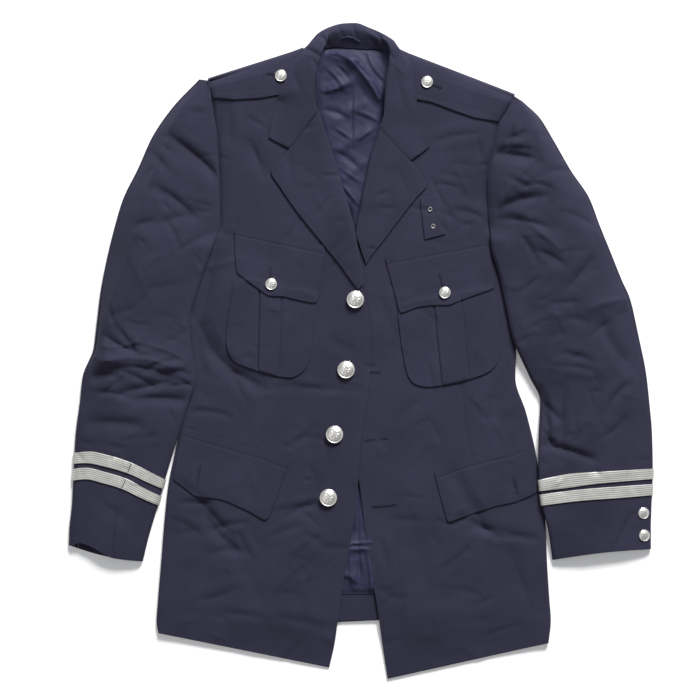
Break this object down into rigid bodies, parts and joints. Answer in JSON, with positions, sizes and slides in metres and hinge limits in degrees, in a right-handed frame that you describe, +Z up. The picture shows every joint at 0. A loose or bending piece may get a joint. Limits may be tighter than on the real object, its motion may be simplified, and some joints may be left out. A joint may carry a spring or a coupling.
{
  "type": "fire service dress jacket",
  "caption": "Single-breasted dress uniform jacket laid flat on its back, with notched lapels, flap pockets, shoulder straps, cuff braid and metal buttons.",
  "frame": {"origin": "centre of the bounding box, on the surface that the jacket lies on", "axes": "+Y from hem to collar, +X to the wearer's left, +Z up from the surface through the back to the front"},
  "size_m": [0.7594, 0.8512, 0.0283],
  "materials": {
    "navy_wool": "matt twill wool",
    "lining_satin": "satin",
    "silver_lace": "woven metallic braid",
    "silver_button": "polished, lightly worn",
    "grey_eyelet": "satin"
  },
  "bodies": {
    "root": {"back": "navy_wool", "front_right": "navy_wool", "front_left": "navy_wool", "lapel_right": "navy_wool", "lapel_left": "navy_wool", "collar": "navy_wool", "top_sleeve_right": "navy_wool", "top_sleeve_left": "navy_wool", "under_sleeve_right": "navy_wool", "under_sleeve_left": "navy_wool", "breast_pocket_right": "navy_wool", "breast_pocket_left": "navy_wool", "breast_flap_right": "navy_wool", "breast_flap_left": "navy_wool", "lower_flap_right": "navy_wool", "lower_flap_left": "navy_wool", "shoulder_strap_right": "navy_wool", "shoulder_strap_left": "navy_wool", "badge_tab": "navy_wool", "hem_facing": "navy_wool", "neck_lining": "lining_satin", "hem_lining": "lining_satin", "hanger_loop": "lining_satin", "lace_right_upper": "silver_lace", "lace_right_lower": "silver_lace", "lace_left_upper": "silver_lace", "lace_left_lower": "silver_lace", "front_button_1": "silver_button", "front_button_2": "silver_button", "front_button_3": "silver_button", "front_button_4": "silver_button", "pocket_button_right": "silver_button", "pocket_button_left": "silver_button", "strap_button_right": "silver_button", "strap_button_left": "silver_button", "cuff_button_1": "silver_button", "cuff_button_2": "silver_button", "eyelet_1": "grey_eyelet", "eyelet_2": "grey_eyelet"}
  },
  "joints": []
}
